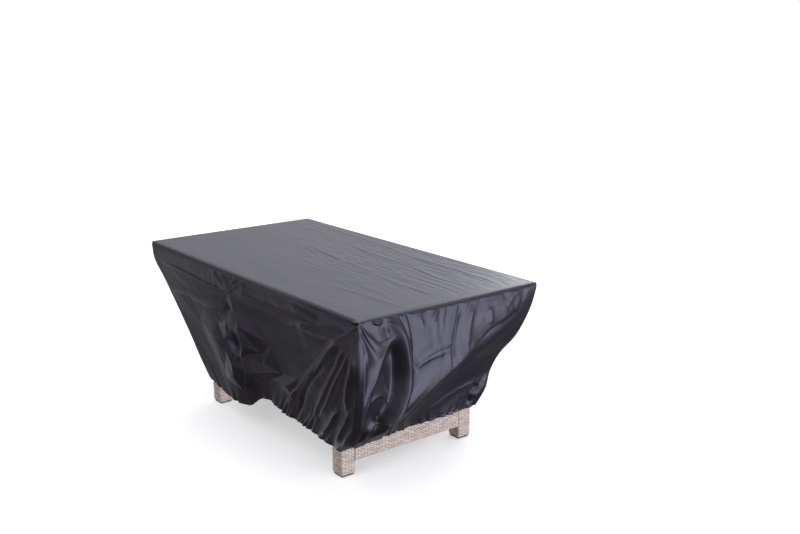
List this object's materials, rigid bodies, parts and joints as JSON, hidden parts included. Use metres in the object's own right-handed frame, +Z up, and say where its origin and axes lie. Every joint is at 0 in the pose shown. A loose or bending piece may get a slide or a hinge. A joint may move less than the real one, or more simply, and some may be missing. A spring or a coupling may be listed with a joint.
{
  "type": "patio furniture cover on a low table",
  "caption": "Fitted dark cloth cover drawn over a low outdoor table, with its hem gathered in round the wicker legs.",
  "frame": {"origin": "on the floor, under the middle of the cover", "axes": "+X along the table's long way, towards the end with the rolled seam; +Y to the back; +Z up"},
  "size_m": [1.4882, 0.7948, 0.638],
  "materials": {
    "cover_cloth": "coated, semi-gloss, fine plain weave",
    "wicker": "woven flat strands, beige-grey",
    "table_board": "plain grey board",
    "foot_plastic": "black, satin"
  },
  "bodies": {
    "root": {"top_panel": "cover_cloth", "skirt_front": "cover_cloth", "skirt_right": "cover_cloth", "skirt_back": "cover_cloth", "skirt_left": "cover_cloth", "table_slab": "table_board", "leg_a": "wicker", "leg_b": "wicker", "leg_c": "wicker", "leg_d": "wicker", "end_rail_left": "wicker", "end_rail_right": "wicker", "end_apron_left": "wicker", "end_apron_right": "wicker", "long_apron_front": "wicker", "long_apron_back": "wicker", "glide_a": "foot_plastic", "glide_b": "foot_plastic", "glide_c": "foot_plastic", "glide_d": "foot_plastic"}
  },
  "joints": []
}
